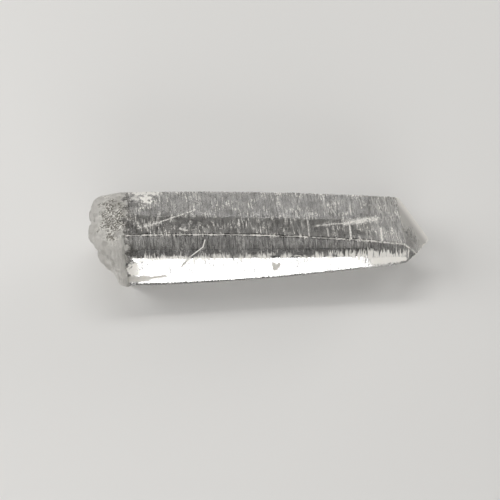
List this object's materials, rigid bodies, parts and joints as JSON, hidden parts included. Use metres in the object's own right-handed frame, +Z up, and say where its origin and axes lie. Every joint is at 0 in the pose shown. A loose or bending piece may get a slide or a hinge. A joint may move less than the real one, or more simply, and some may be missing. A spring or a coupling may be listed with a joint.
{
  "type": "lemurian quartz point",
  "caption": "Clear, flattened and tapering six-sided crystal with growth ledges across its faces, a three-faced tip and a lumpy frosted base; it lies on one face.",
  "frame": {"origin": "on the resting surface, under the middle of the crystal's box", "axes": "+X along the crystal's long axis towards its tip, +Z up, -Y towards the viewer's side"},
  "size_m": [0.0842, 0.0262, 0.0199],
  "materials": {
    "clear_quartz": "clear natural crystal, glossy between fine striations across its faces, milky and frosted at the base"
  },
  "bodies": {
    "root": {"quartz_point": "clear_quartz"}
  },
  "joints": []
}
